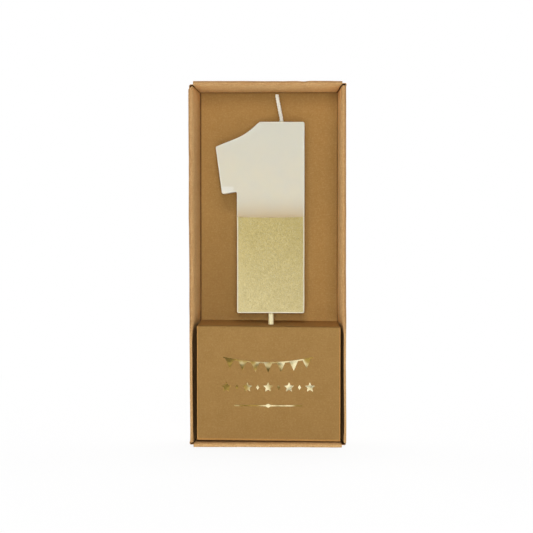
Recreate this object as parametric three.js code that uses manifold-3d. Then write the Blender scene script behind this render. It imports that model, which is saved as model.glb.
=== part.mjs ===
// A number candle, the numeral 1, held upright in its open kraft carton.
// Millimetres, +Z up. The open front of the carton faces -Y.
// The origin is on the surface that the carton stands on, under its middle.
// The carton is sized from the candle and the room left round it.

import * as THREE from "three";
import { mergeVertices } from "three/addons/utils/BufferGeometryUtils.js";
import Module from "manifold-3d";

const wasm = await Module();
wasm.setup();

// The candle's outline, with drops measured down from its top edge
const CANDLE_HEIGHT = 78.8;
const CANDLE_THICKNESS = 12;
const STEM_WIDTH = 27.9;
const TOP_LENGTH = 18.6;
const FLAG_REACH = 8.75;
const TIP_DROP = 10.2;
const ELBOW_SETBACK = 3.2;
const ELBOW_DROP = 5.4;
const ELBOW_RADIUS = 24;
const ELBOW_STEPS = 8;
const FLAG_ROOT_DROP = 28.7;
const FLAG_FOOT_DROP = 29.9;
const FLAG_FOOT_SETBACK = 2.6;
const CORNER_RADIUS = 0.8;
const FOOT_CORNER_RADIUS = 1;
const ROOT_RADIUS = 0.7;

// The rounding of the candle's front and back edges
const EDGE_INSET = 1.1;
const EDGE_DEPTH = 1.5;
const EDGE_STEPS = 4;

// The metallic dip over the lower half
const DIP_HEIGHT = 39.7;
const DIP_COAT = 0.35;
const DIP_FIT = 0.05;

// The wick and the wax drawn up round its foot
const WICK_DIAMETER = 1.5;
const WICK_LENGTH = 11.4;
const WICK_LEAN = 1.95;
const WICK_OFFSET = 4.3;
const WICK_ABOVE_PICK = 3;
const COLLAR_FOOT = 0.8;
const COLLAR_LIP = 0.15;
const COLLAR_HEIGHT = 0.9;
const WICK_STEPS = 36;

// The pick that stands in the carton's shelf, and later in a cake
const PICK_DIAMETER = 2.3;
const PICK_EMBED = 18;
const PICK_REACH = 12.5;
const PICK_POINT_LENGTH = 3;
const PICK_POINT_DIAMETER = 0.8;
const SOCKET_FIT = 0.1;

// Room left round the candle inside the carton
const ROOM_LEFT = 6.95;
const ROOM_RIGHT = 13.7;
const ROOM_BEHIND = 4.55;
const ROOM_IN_FRONT = 2.5;
const ROOM_UNDER = 4.8;
const ROOM_ABOVE = 1.5;

// The insert, one folded card: back, foot, front, shelf and glue flap
const CARD = 0.4;
const PLINTH_HEIGHT = 47.7;
const SHELF_DROP = 1.5;
const FOOT_DROP = 1;
const FRONT_SETBACK = 1;
const FRONT_FLARE = 0.75;
const CREASE_RADIUS = 0.8;
const GLUE_FLAP_LENGTH = 12;
const GLUE_LINE = 0.05;
const HOLE_CLEARANCE = 0.55;
const SIDE_CLEARANCE = 0.3;
const END_CLEARANCE = 0.2;
const BACK_CLEARANCE = 0.1;
const INSERT_SHIFT = 0.2;

// The tray, one folded blank with rolled-over double walls
const BOARD = 0.45;
const RIM_WIDTH = 1.7;
const WALL_LEAN = 1.6;
const FOLD_RADIUS = 0.75;
const FOOT_GAP = 0.1;
const MITRE_GAP = 0.3;
const CORNER_FLAP_LENGTH = 9;
const CORNER_FLAP_BEND = 0.7;
const CORNER_FLAP_DROP = 1.2;

// The foil stamped on the front of the insert
const FOIL = 0.08;
const GARLAND_WIDTH = 37;
const GARLAND_SAG = 2.2;
const GARLAND_CORD = 0.45;
const PENNANT_COUNT = 7;
const PENNANT_WIDTH = 3.4;
const PENNANT_LENGTH = 3.8;
const GARLAND_DROP = 12.4;
const STAR_COUNT = 5;
const STAR_PITCH = 8.6;
const STAR_RADIUS = 2.15;
const STAR_INNER_RADIUS = 1;
const DIAMOND_WIDTH = 1.3;
const DIAMOND_HEIGHT = 2.1;
const STAR_ROW_DROP = 25;
const RULE_LENGTH = 28;
const RULE_WIDTH = 0.45;
const RULE_LOZENGE_WIDTH = 3;
const RULE_LOZENGE_HEIGHT = 1.7;
const RULE_DROP = 32.6;

// Facets round a circle and a corner, the least radius, and how far a cutter runs on
const FACETS = 24;
const CORNER_FACETS = 4;
const LEAST_RADIUS = 0.05;
const BEYOND = 1;

// The most of a straight edge that the fillet at one of its ends may take
const FILLET_SHARE = 0.48;

// The tray's sizes, which follow from what it holds
const wallFoot = RIM_WIDTH + WALL_LEAN;
const insertBackWidth = ROOM_LEFT + FLAG_REACH + STEM_WIDTH + ROOM_RIGHT;
const insertFrontWidth = insertBackWidth + 2 * FRONT_FLARE;
const trayWidth = insertBackWidth + 2 * (wallFoot + SIDE_CLEARANCE);
const cardInset = BOARD + BACK_CLEARANCE;
const trayDepth = cardInset + CARD + ROOM_BEHIND + CANDLE_THICKNESS + ROOM_IN_FRONT;

// Depths, from the back of the tray to its rim
const backY = trayDepth / 2;
const rimY = -trayDepth / 2;
const boardFrontY = backY - BOARD;
const cardBackY = backY - cardInset;
const cardFrontY = cardBackY - CARD;
const flapBackY = cardFrontY - GLUE_LINE;
const flapFrontY = flapBackY - CARD;
const candleMidY = cardFrontY - ROOM_BEHIND - CANDLE_THICKNESS / 2;
const plinthFrontY = rimY + FRONT_SETBACK;
const creaseEndY = plinthFrontY + CARD + 2 * CREASE_RADIUS;

// Widths, from the insert's left edge
const insertLeftX = INSERT_SHIFT - insertBackWidth / 2;
const stemLeftX = insertLeftX + ROOM_LEFT + FLAG_REACH;
const stemRightX = stemLeftX + STEM_WIDTH;
const pickX = (stemLeftX + stemRightX) / 2;
const wickX = pickX + WICK_OFFSET;

// Heights, from the foot of the insert
const footBackZ = wallFoot + END_CLEARANCE;
const footFrontZ = footBackZ - FOOT_DROP;
const shelfBackZ = footBackZ + PLINTH_HEIGHT;
const shelfFrontZ = shelfBackZ - SHELF_DROP;
const candleFootZ = shelfZ(candleMidY) + ROOM_UNDER;
const candleTopZ = candleFootZ + CANDLE_HEIGHT;
const dipZ = candleFootZ + DIP_HEIGHT;
const pickTopZ = candleFootZ + PICK_EMBED;
const wickFootZ = pickTopZ + WICK_ABOVE_PICK;
const wickTopZ = candleTopZ + WICK_LENGTH;
const insertTopZ = wickTopZ + ROOM_ABOVE;
const trayHeight = insertTopZ + END_CLEARANCE + wallFoot;

// Share of the way from the insert's front to its back, at a depth
function plinthShare(y) {
  return (y - plinthFrontY) / (cardFrontY - plinthFrontY);
}

// Height of the shelf's upper face at a depth: it falls towards the front
function shelfZ(y) {
  return shelfFrontZ + SHELF_DROP * plinthShare(y);
}

// Height of the foot panel's lower face at a depth: it lies on the leaning wall below
function footZ(y) {
  return footFrontZ + FOOT_DROP * plinthShare(y);
}

const wax = new THREE.MeshStandardMaterial({ color: 0xe6e0cf, roughness: 0.5 });
const gilt = new THREE.MeshStandardMaterial({ color: 0xcdbb7a, roughness: 0.38, metalness: 0.7 });
const giltPick = new THREE.MeshStandardMaterial({ color: 0xe8dca6, roughness: 0.28, metalness: 0.8 });
const cotton = new THREE.MeshStandardMaterial({ color: 0xe2dfd2, roughness: 0.8 });
const trayBoard = new THREE.MeshStandardMaterial({ color: 0xc39c6c, roughness: 0.9 });
const kraftCard = new THREE.MeshStandardMaterial({ color: 0xa67f4a, roughness: 0.9 });
const foil = new THREE.MeshStandardMaterial({ color: 0xd9c47c, roughness: 0.22, metalness: 1 });

const carton = new THREE.Group();

// Turns that lay a drawn shape in the part's frame
const drawnFromTheSide = new THREE.Matrix4().makeBasis(
  new THREE.Vector3(0, 1, 0),
  new THREE.Vector3(0, 0, 1),
  new THREE.Vector3(1, 0, 0),
);
const drawnFromTheFront = new THREE.Matrix4().makeBasis(
  new THREE.Vector3(1, 0, 0),
  new THREE.Vector3(0, 0, 1),
  new THREE.Vector3(0, -1, 0),
);

function solidOf(geometry) {
  const bare = geometry.clone();
  bare.deleteAttribute("normal");
  bare.deleteAttribute("uv");
  const merged = mergeVertices(bare);
  return new wasm.Manifold(
    new wasm.Mesh({
      numProp: 3,
      vertProperties: new Float32Array(merged.attributes.position.array),
      triVerts: new Uint32Array(merged.index.array),
    }),
  );
}

function geometryOf(solid) {
  const mesh = solid.getMesh();
  const geometry = new THREE.BufferGeometry();
  geometry.setAttribute("position", new THREE.BufferAttribute(mesh.vertProperties, 3));
  geometry.setIndex(new THREE.BufferAttribute(mesh.triVerts, 1));
  geometry.computeVertexNormals();
  return geometry;
}

function addPart(name, geometry, material) {
  const mesh = new THREE.Mesh(geometry, material);
  mesh.name = name;
  carton.add(mesh);
  return mesh;
}

function boxBetween(low, high) {
  const size = new THREE.Vector3().subVectors(high, low);
  const middle = new THREE.Vector3().addVectors(low, high).multiplyScalar(0.5);
  return new THREE.BoxGeometry(size.x, size.y, size.z).translate(middle.x, middle.y, middle.z);
}

function extruded(points, depth) {
  return new THREE.ExtrudeGeometry(new THREE.Shape(points), { depth, bevelEnabled: false });
}

// Points on a fillet at corner, between the edges to before and after, which limit its radius
function filletPoints(before, corner, after, wantedRadius, steps) {
  const into = new THREE.Vector2().subVectors(corner, before);
  const out = new THREE.Vector2().subVectors(after, corner);
  const room = FILLET_SHARE * Math.min(into.length(), out.length());
  into.normalize();
  out.normalize();
  const side = Math.sign(into.cross(out));
  const halfTurn = Math.acos(THREE.MathUtils.clamp(into.dot(out), -1, 1)) / 2;
  const radius = Math.min(wantedRadius, room / Math.tan(halfTurn));
  const start = corner.clone().addScaledVector(into, -radius * Math.tan(halfTurn));
  const toCentre = new THREE.Vector2(-into.y, into.x).multiplyScalar(side * radius);
  const centre = start.clone().add(toCentre);
  const points = [];
  for (let i = 0; i <= steps; i++) {
    const angle = (side * 2 * halfTurn * i) / steps;
    points.push(start.clone().rotateAround(centre, angle));
  }
  return points;
}

// A closed outline with its corners rounded, each corner as { x, y, radius, steps }
function roundedOutline(corners) {
  const at = (i) => corners[(i + corners.length) % corners.length];
  const place = (c) => new THREE.Vector2(c.x, c.y);
  return corners.flatMap((c, i) =>
    c.radius > 0
      ? filletPoints(place(at(i - 1)), place(c), place(at(i + 1)), c.radius, c.steps ?? CORNER_FACETS)
      : [place(c)],
  );
}

// The numeral

function numeralCorners() {
  const top = CANDLE_HEIGHT;
  const topLeft = STEM_WIDTH - TOP_LENGTH;
  return [
    { x: 0, y: 0, radius: CORNER_RADIUS },
    { x: STEM_WIDTH, y: 0, radius: CORNER_RADIUS },
    { x: STEM_WIDTH, y: top, radius: CORNER_RADIUS },
    { x: topLeft, y: top, radius: CORNER_RADIUS },
    { x: ELBOW_SETBACK, y: top - ELBOW_DROP, radius: ELBOW_RADIUS, steps: ELBOW_STEPS },
    { x: -FLAG_REACH, y: top - TIP_DROP, radius: CORNER_RADIUS },
    { x: FLAG_FOOT_SETBACK - FLAG_REACH, y: top - FLAG_FOOT_DROP, radius: FOOT_CORNER_RADIUS },
    { x: 0, y: top - FLAG_ROOT_DROP, radius: ROOT_RADIUS },
  ];
}

// The numeral's outline moved inwards, with as many points at every inset
function numeralRing(inset) {
  const corners = numeralCorners();
  const at = (i) => corners[(i + corners.length) % corners.length];
  const moved = corners.map((c, i) => {
    const into = new THREE.Vector2(c.x - at(i - 1).x, c.y - at(i - 1).y).normalize();
    const out = new THREE.Vector2(at(i + 1).x - c.x, at(i + 1).y - c.y).normalize();
    const turn = into.cross(out);
    const along = inset * Math.tan(Math.asin(turn) / 2);
    const inner = new THREE.Vector2(-into.y, into.x).multiplyScalar(inset);
    const radius = turn > 0 ? Math.max(c.radius - inset, LEAST_RADIUS) : c.radius + inset;
    return {
      x: c.x + inner.x - into.x * along,
      y: c.y + inner.y - into.y * along,
      radius,
      steps: c.steps,
    };
  });
  return roundedOutline(moved);
}

// The numeral as a solid with rounded front and back edges, drawn in by inset all over
function numeralSolid(inset) {
  const halfDepth = CANDLE_THICKNESS / 2 - inset;
  const rings = [];
  for (let i = 0; i <= EDGE_STEPS; i++) {
    const angle = (Math.PI / 2) * (i / EDGE_STEPS);
    const edgeInset = EDGE_INSET * (1 - Math.sin(angle));
    const edgeDepth = EDGE_DEPTH * (1 - Math.cos(angle));
    rings.push({ inset: inset + edgeInset, depth: edgeDepth });
  }
  const frontToBack = [
    ...rings.map((r) => ({ inset: r.inset, y: candleMidY - halfDepth + r.depth })),
    ...rings.toReversed().map((r) => ({ inset: r.inset, y: candleMidY + halfDepth - r.depth })),
  ];
  const outlines = frontToBack.map((r) => numeralRing(r.inset));
  const count = outlines[0].length;
  const positions = [];
  outlines.forEach((outline, k) =>
    outline.forEach((p) => positions.push(stemLeftX + p.x, frontToBack[k].y, candleFootZ + p.y)),
  );
  const index = [];
  const lastRing = (outlines.length - 1) * count;
  for (const [a, b, c] of THREE.ShapeUtils.triangulateShape(outlines[0], [])) {
    index.push(a, b, c);
    index.push(lastRing + c, lastRing + b, lastRing + a);
  }
  for (let k = 0; k + 1 < outlines.length; k++) {
    for (let i = 0; i < count; i++) {
      const next = (i + 1) % count;
      const front = k * count;
      const behind = front + count;
      index.push(front + i, behind + i, front + next);
      index.push(front + next, behind + i, behind + next);
    }
  }
  const geometry = new THREE.BufferGeometry();
  geometry.setAttribute("position", new THREE.Float32BufferAttribute(positions, 3));
  geometry.setIndex(index);
  return solidOf(geometry);
}

// A turned solid on an upright axis, from (radius, height) pairs
function turned(profile, x, y) {
  const points = profile.map(([radius, height]) => new THREE.Vector2(radius, height));
  return new THREE.LatheGeometry(points, FACETS).rotateX(Math.PI / 2).translate(x, y, 0);
}

function uprightCylinder(x, y, radius, fromZ, toZ) {
  return turned([[0, fromZ], [radius, fromZ], [radius, toZ], [0, toZ]], x, y);
}

function dippedZone() {
  return boxBetween(
    new THREE.Vector3(stemLeftX - FLAG_REACH - BEYOND, rimY, candleFootZ - BEYOND),
    new THREE.Vector3(stemRightX + BEYOND, backY, dipZ),
  );
}

function pickSocket() {
  const radius = PICK_DIAMETER / 2 + SOCKET_FIT;
  const topZ = pickTopZ + SOCKET_FIT;
  return solidOf(uprightCylinder(pickX, candleMidY, radius, candleFootZ - BEYOND, topZ));
}

function wickChannel() {
  const radius = WICK_DIAMETER / 2 + SOCKET_FIT;
  const topZ = candleTopZ + COLLAR_HEIGHT + BEYOND;
  return solidOf(uprightCylinder(wickX, candleMidY, radius, wickFootZ - SOCKET_FIT, topZ));
}

// Wax drawn up round the wick by the dipping, as a concave cone
function wickCollar() {
  const channel = WICK_DIAMETER / 2 + SOCKET_FIT;
  const foot = channel + COLLAR_FOOT;
  const lip = channel + COLLAR_LIP;
  const profile = [[0, -EDGE_DEPTH], [foot, -EDGE_DEPTH], [foot, 0]];
  for (let i = 1; i <= CORNER_FACETS; i++) {
    const angle = (Math.PI / 2) * (i / CORNER_FACETS);
    profile.push([foot - (foot - lip) * Math.sin(angle), COLLAR_HEIGHT * (1 - Math.cos(angle))]);
  }
  profile.push([0, COLLAR_HEIGHT]);
  return solidOf(turned(profile, wickX, candleMidY).translate(0, 0, candleTopZ));
}

function addCandle() {
  const whole = numeralSolid(0);
  const dipped = solidOf(dippedZone());
  const body = whole
    .subtract(dipped)
    .add(numeralSolid(DIP_COAT + DIP_FIT))
    .add(wickCollar())
    .subtract(pickSocket())
    .subtract(wickChannel());
  addPart("candle_wax_body", geometryOf(body), wax);

  const coat = whole
    .intersect(dipped)
    .subtract(numeralSolid(DIP_COAT))
    .subtract(pickSocket());
  const coatMesh = addPart("candle_metallic_dip", geometryOf(coat), gilt);
  coatMesh.position.z = -DIP_FIT;
}

// The wick runs straight up through the wax, then leans to the left
function addWick() {
  const leanStartZ = candleTopZ + COLLAR_HEIGHT + WICK_DIAMETER;
  const at = (z) => {
    const share = Math.max(z - leanStartZ, 0) / (wickTopZ - leanStartZ);
    return new THREE.Vector3(wickX - WICK_LEAN * share, candleMidY, z);
  };
  const heights = [wickFootZ, candleTopZ, leanStartZ, (leanStartZ + wickTopZ) / 2, wickTopZ];
  const section = new THREE.Shape();
  section.absarc(0, 0, WICK_DIAMETER / 2, 0, 2 * Math.PI);
  const wick = new THREE.ExtrudeGeometry(section, {
    steps: WICK_STEPS,
    curveSegments: FACETS / 4,
    extrudePath: new THREE.CatmullRomCurve3(heights.map(at), false, "centripetal"),
    bevelEnabled: false,
  });
  addPart("candle_wick", wick, cotton);
}

function addPick() {
  const radius = PICK_DIAMETER / 2;
  const bottomZ = shelfZ(candleMidY) - PICK_REACH;
  const profile = [
    [0, bottomZ],
    [PICK_POINT_DIAMETER / 2, bottomZ],
    [radius, bottomZ + PICK_POINT_LENGTH],
    [radius, pickTopZ],
    [0, pickTopZ],
  ];
  addPart("candle_pick", turned(profile, pickX, candleMidY), giltPick);
}

// The insert: each panel is drawn from the side, as (y, z), and its ends follow the plan

function insertPlan() {
  const points = [
    [-insertFrontWidth / 2, plinthFrontY],
    [insertFrontWidth / 2, plinthFrontY],
    [insertBackWidth / 2, cardBackY],
    [-insertBackWidth / 2, cardBackY],
  ].map(([x, y]) => new THREE.Vector2(x, y));
  return solidOf(extruded(points, trayHeight));
}

function addInsertPanel(name, outline, hole) {
  const across = extruded(outline, trayWidth)
    .translate(0, 0, -trayWidth / 2)
    .applyMatrix4(drawnFromTheSide);
  const panel = solidOf(across).intersect(insertPlan());
  const cut = hole ? panel.subtract(hole) : panel;
  addPart(name, geometryOf(cut), kraftCard).position.x = INSERT_SHIFT;
}

function upright(nearY, farY, lowZ, highZ) {
  return [
    new THREE.Vector2(nearY, lowZ),
    new THREE.Vector2(farY, lowZ),
    new THREE.Vector2(farY, highZ),
    new THREE.Vector2(nearY, highZ),
  ];
}

// A sloping panel between two depths, whose upper face has its height from a function
function sloping(nearY, farY, upperZ) {
  return [
    new THREE.Vector2(nearY, upperZ(nearY) - CARD),
    new THREE.Vector2(farY, upperZ(farY) - CARD),
    new THREE.Vector2(farY, upperZ(farY)),
    new THREE.Vector2(nearY, upperZ(nearY)),
  ];
}

// The front with the rounded creases along its top and bottom
function frontOutline() {
  const innerY = plinthFrontY + CARD;
  const innerRadius = Math.max(CREASE_RADIUS - CARD, LEAST_RADIUS);
  const outer = roundedOutline([
    { x: creaseEndY, y: shelfZ(creaseEndY), radius: 0 },
    { x: plinthFrontY, y: shelfFrontZ, radius: CREASE_RADIUS },
    { x: plinthFrontY, y: footFrontZ, radius: CREASE_RADIUS },
    { x: creaseEndY, y: footZ(creaseEndY), radius: 0 },
  ]);
  const inner = roundedOutline([
    { x: creaseEndY, y: footZ(creaseEndY) + CARD, radius: 0 },
    { x: innerY, y: footZ(innerY) + CARD, radius: innerRadius },
    { x: innerY, y: shelfZ(innerY) - CARD, radius: innerRadius },
    { x: creaseEndY, y: shelfZ(creaseEndY) - CARD, radius: 0 },
  ]);
  return [...outer, ...inner];
}

function pickHole() {
  const radius = PICK_DIAMETER / 2 + HOLE_CLEARANCE;
  const x = pickX - INSERT_SHIFT;
  return solidOf(uprightCylinder(x, candleMidY, radius, shelfFrontZ - BEYOND, shelfBackZ + BEYOND));
}

function addInsert() {
  const flapTopZ = shelfZ(flapFrontY) - CARD;
  const flapFootZ = flapTopZ - GLUE_FLAP_LENGTH;
  const footUpperZ = (y) => footZ(y) + CARD;
  addInsertPanel("insert_back_panel", upright(cardFrontY, cardBackY, footBackZ, insertTopZ));
  addInsertPanel("insert_foot_panel", sloping(creaseEndY, cardFrontY, footUpperZ));
  addInsertPanel("insert_front_panel", frontOutline());
  addInsertPanel("insert_shelf_panel", sloping(creaseEndY, flapBackY, shelfZ), pickHole());
  addInsertPanel("insert_glue_flap", upright(flapFrontY, flapBackY, flapFootZ, flapTopZ));
}

// The tray: a wall is drawn in plan, as (inwards from its outer face, y)

function wallProfile() {
  const foot = boardFrontY - FOOT_GAP;
  const innerRimX = RIM_WIDTH - BOARD + (WALL_LEAN * BOARD) / (foot - rimY);
  const innerRadius = Math.max(FOLD_RADIUS - BOARD, LEAST_RADIUS);
  const outer = roundedOutline([
    { x: 0, y: boardFrontY, radius: 0 },
    { x: 0, y: rimY, radius: FOLD_RADIUS },
    { x: RIM_WIDTH, y: rimY, radius: FOLD_RADIUS },
    { x: wallFoot, y: foot, radius: 0 },
  ]);
  const inner = roundedOutline([
    { x: wallFoot - BOARD, y: foot, radius: 0 },
    { x: innerRimX, y: rimY + BOARD, radius: innerRadius },
    { x: BOARD, y: rimY + BOARD, radius: innerRadius },
    { x: BOARD, y: boardFrontY, radius: 0 },
  ]);
  return [...outer, ...inner].toReversed();
}

// A double wall along a side of the given length, its ends mitred behind square notches
function wallGeometry(length) {
  const wall = solidOf(extruded(wallProfile(), length));
  const halfGap = MITRE_GAP / 2;
  const pastFoot = wallFoot + BEYOND;
  const plan = [
    [-BEYOND, RIM_WIDTH],
    [RIM_WIDTH - halfGap, RIM_WIDTH],
    [pastFoot, pastFoot + halfGap],
    [pastFoot, length - pastFoot - halfGap],
    [RIM_WIDTH - halfGap, length - RIM_WIDTH],
    [-BEYOND, length - RIM_WIDTH],
  ].map(([x, along]) => new THREE.Vector2(x, along));
  const cutter = extruded(plan, trayDepth + 2 * BEYOND)
    .rotateX(Math.PI / 2)
    .translate(0, backY + BEYOND, 0);
  return geometryOf(wall.intersect(solidOf(cutter)));
}

function addWalls() {
  const sideWall = wallGeometry(trayHeight);
  const endWall = wallGeometry(trayWidth);
  const half = trayWidth / 2;
  const quarterTurn = Math.PI / 2;

  addPart("tray_wall_left", sideWall, trayBoard).position.x = -half;

  const right = addPart("tray_wall_right", sideWall, trayBoard);
  right.rotation.y = Math.PI;
  right.position.set(half, 0, trayHeight);

  const top = addPart("tray_wall_top", endWall, trayBoard);
  top.rotation.y = quarterTurn;
  top.position.set(-half, 0, trayHeight);

  const bottom = addPart("tray_wall_bottom", endWall, trayBoard);
  bottom.rotation.y = -quarterTurn;
  bottom.position.set(half, 0, 0);
}

// The back of the tray, with the corner notches that let its walls fold
function addTrayBack() {
  const x = trayWidth / 2;
  const notchX = x - RIM_WIDTH;
  const notchTop = trayHeight - RIM_WIDTH;
  const points = [
    [-notchX, 0],
    [notchX, 0],
    [notchX, RIM_WIDTH],
    [x, RIM_WIDTH],
    [x, notchTop],
    [notchX, notchTop],
    [notchX, trayHeight],
    [-notchX, trayHeight],
    [-notchX, notchTop],
    [-x, notchTop],
    [-x, RIM_WIDTH],
    [-notchX, RIM_WIDTH],
  ].map(([px, pz]) => new THREE.Vector2(px, pz));
  const panel = extruded(points, BOARD).applyMatrix4(drawnFromTheFront).translate(0, backY, 0);
  addPart("tray_back_panel", panel, trayBoard);
}

// An L of board glued inside two neighbouring walls, drawn in plan from its corner
function cornerFlapGeometry() {
  const near = BOARD + GLUE_LINE;
  const far = near + BOARD;
  const end = RIM_WIDTH + CORNER_FLAP_LENGTH;
  const backEnd = boardFrontY - FOOT_GAP;
  const innerBend = Math.max(CORNER_FLAP_BEND - BOARD, LEAST_RADIUS);
  const outline = roundedOutline([
    { x: near, y: end, radius: 0 },
    { x: near, y: near, radius: CORNER_FLAP_BEND },
    { x: end, y: near, radius: 0 },
    { x: end, y: far, radius: 0 },
    { x: far, y: far, radius: innerBend },
    { x: far, y: end, radius: 0 },
  ]);
  const depth = backEnd - (rimY + BOARD + CORNER_FLAP_DROP);
  return extruded(outline, depth).applyMatrix4(drawnFromTheFront).translate(0, backEnd, 0);
}

function addCornerFlaps() {
  const half = trayWidth / 2;
  const corners = [
    ["tray_corner_flap_bottom_left", 0, -half, 0],
    ["tray_corner_flap_top_left", Math.PI / 2, -half, trayHeight],
    ["tray_corner_flap_top_right", Math.PI, half, trayHeight],
    ["tray_corner_flap_bottom_right", -Math.PI / 2, half, 0],
  ];
  const geometry = cornerFlapGeometry();
  for (const [name, turn, x, z] of corners) {
    const flap = addPart(name, geometry, trayBoard);
    flap.rotation.y = turn;
    flap.position.set(x, 0, z);
  }
}

// The foil: shapes drawn from the front, as (x, z), on the insert's front panel

function stamp(name, points) {
  const shape = extruded(points, FOIL).applyMatrix4(drawnFromTheFront);
  addPart(name, shape, foil).position.set(INSERT_SHIFT, plinthFrontY, 0);
}

// A sagging cord with a row of pennants hung from it, in one outline
function garlandPoints(topZ) {
  const half = GARLAND_WIDTH / 2;
  const cordZ = (x) => topZ - GARLAND_SAG * (1 - (x / half) ** 2);
  const points = [];
  const steps = 4 * PENNANT_COUNT;
  for (let i = 0; i <= steps; i++) {
    const x = half - (GARLAND_WIDTH * i) / steps;
    points.push(new THREE.Vector2(x, cordZ(x)));
  }
  const pitch = GARLAND_WIDTH / PENNANT_COUNT;
  for (let i = 0; i < PENNANT_COUNT; i++) {
    const x = -half + pitch * (i + 1 / 2);
    const left = x - PENNANT_WIDTH / 2;
    const right = x + PENNANT_WIDTH / 2;
    const edge = -half + pitch * i;
    points.push(new THREE.Vector2(edge, cordZ(edge) - GARLAND_CORD));
    points.push(new THREE.Vector2(left, cordZ(left) - GARLAND_CORD));
    points.push(new THREE.Vector2(x, cordZ(x) - GARLAND_CORD - PENNANT_LENGTH));
    points.push(new THREE.Vector2(right, cordZ(right) - GARLAND_CORD));
  }
  points.push(new THREE.Vector2(half, cordZ(half) - GARLAND_CORD));
  return points;
}

function starPoints(x, z) {
  const points = [];
  for (let i = 0; i < 10; i++) {
    const radius = i % 2 ? STAR_INNER_RADIUS : STAR_RADIUS;
    const angle = Math.PI / 2 + (Math.PI * i) / 5;
    points.push(new THREE.Vector2(x + radius * Math.cos(angle), z + radius * Math.sin(angle)));
  }
  return points;
}

function diamondPoints(x, z, width, height) {
  return [
    new THREE.Vector2(x, z - height / 2),
    new THREE.Vector2(x + width / 2, z),
    new THREE.Vector2(x, z + height / 2),
    new THREE.Vector2(x - width / 2, z),
  ];
}

// A thin rule with a lozenge at its middle
function rulePoints(z) {
  const end = RULE_LENGTH / 2;
  const thin = RULE_WIDTH / 2;
  const tall = RULE_LOZENGE_HEIGHT / 2;
  const joinX = (RULE_LOZENGE_WIDTH / 2) * (1 - thin / tall);
  return [
    [-end, -thin],
    [-joinX, -thin],
    [0, -tall],
    [joinX, -thin],
    [end, -thin],
    [end, thin],
    [joinX, thin],
    [0, tall],
    [-joinX, thin],
    [-end, thin],
  ].map(([px, pz]) => new THREE.Vector2(px, z + pz));
}

function addFoil() {
  stamp("foil_garland", garlandPoints(shelfFrontZ - GARLAND_DROP));
  const rowZ = shelfFrontZ - STAR_ROW_DROP;
  const rowStart = (-STAR_PITCH * (STAR_COUNT - 1)) / 2;
  for (let i = 0; i < STAR_COUNT; i++) {
    stamp(`foil_star_${i + 1}`, starPoints(rowStart + STAR_PITCH * i, rowZ));
  }
  for (let i = 0; i + 1 < STAR_COUNT; i++) {
    const x = rowStart + STAR_PITCH * (i + 1 / 2);
    stamp(`foil_diamond_${i + 1}`, diamondPoints(x, rowZ, DIAMOND_WIDTH, DIAMOND_HEIGHT));
  }
  stamp("foil_rule", rulePoints(shelfFrontZ - RULE_DROP));
}

addTrayBack();
addWalls();
addCornerFlaps();
addInsert();
addCandle();
addWick();
addPick();
addFoil();

export default carton;
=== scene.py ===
import math
from typing import Callable, NamedTuple

import bmesh
import bpy
from mathutils import Matrix, Vector, noise
from mathutils.geometry import delaunay_2d_cdt


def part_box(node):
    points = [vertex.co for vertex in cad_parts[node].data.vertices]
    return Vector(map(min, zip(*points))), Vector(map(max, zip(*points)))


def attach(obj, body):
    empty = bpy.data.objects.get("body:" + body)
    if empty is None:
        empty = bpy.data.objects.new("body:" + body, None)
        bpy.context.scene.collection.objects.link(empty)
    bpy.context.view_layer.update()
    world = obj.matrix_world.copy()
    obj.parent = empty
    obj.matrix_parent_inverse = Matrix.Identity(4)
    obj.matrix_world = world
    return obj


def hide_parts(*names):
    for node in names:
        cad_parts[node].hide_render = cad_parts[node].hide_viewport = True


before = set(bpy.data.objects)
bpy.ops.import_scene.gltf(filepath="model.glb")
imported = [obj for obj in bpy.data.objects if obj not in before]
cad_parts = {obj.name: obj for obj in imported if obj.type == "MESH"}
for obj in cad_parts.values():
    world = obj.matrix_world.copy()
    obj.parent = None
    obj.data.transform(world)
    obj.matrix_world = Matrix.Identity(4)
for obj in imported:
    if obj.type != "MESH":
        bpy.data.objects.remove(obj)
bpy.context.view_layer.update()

# Lengths in this file are millimetres, and each mesh is scaled to metres when it is made.
MM = 0.001

# The noise vectors start from the clock unless they are seeded
noise.seed_set(7)


def node_box(name):
    """Lowest and highest corner of a CAD node, in millimetres."""
    return [Vector([c / MM for c in corner]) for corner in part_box(name)]


# The tray
TRAY_LOW, TRAY_HIGH = node_box("tray_back_panel")
HALF_WIDTH = TRAY_HIGH.x
TRAY_HEIGHT = TRAY_HIGH.z
BACK_Y = TRAY_HIGH.y
BOARD_Y = TRAY_LOW.y
RIM_Y = node_box("tray_wall_left")[0].y
BOARD = BACK_Y - BOARD_Y
BOARD_BEVEL = 0.08
RIM_WIDTH = 1.7
RIM_ROUNDING = 1.25
NOTCH = 0.95
WALL_FOOT = 3.3
WALL_PITCH = 1.2
FOOT_GAP = 0.1
MITRE_GAP = 0.44
FOLD_RADIUS = 0.6
# Heights between which the side walls pass from their shape beside the plinth to the one above it
PLINTH_END = (44, 56)
FLAP_LENGTH = 10.7
FLAP_BEVEL = 0.06

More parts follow.
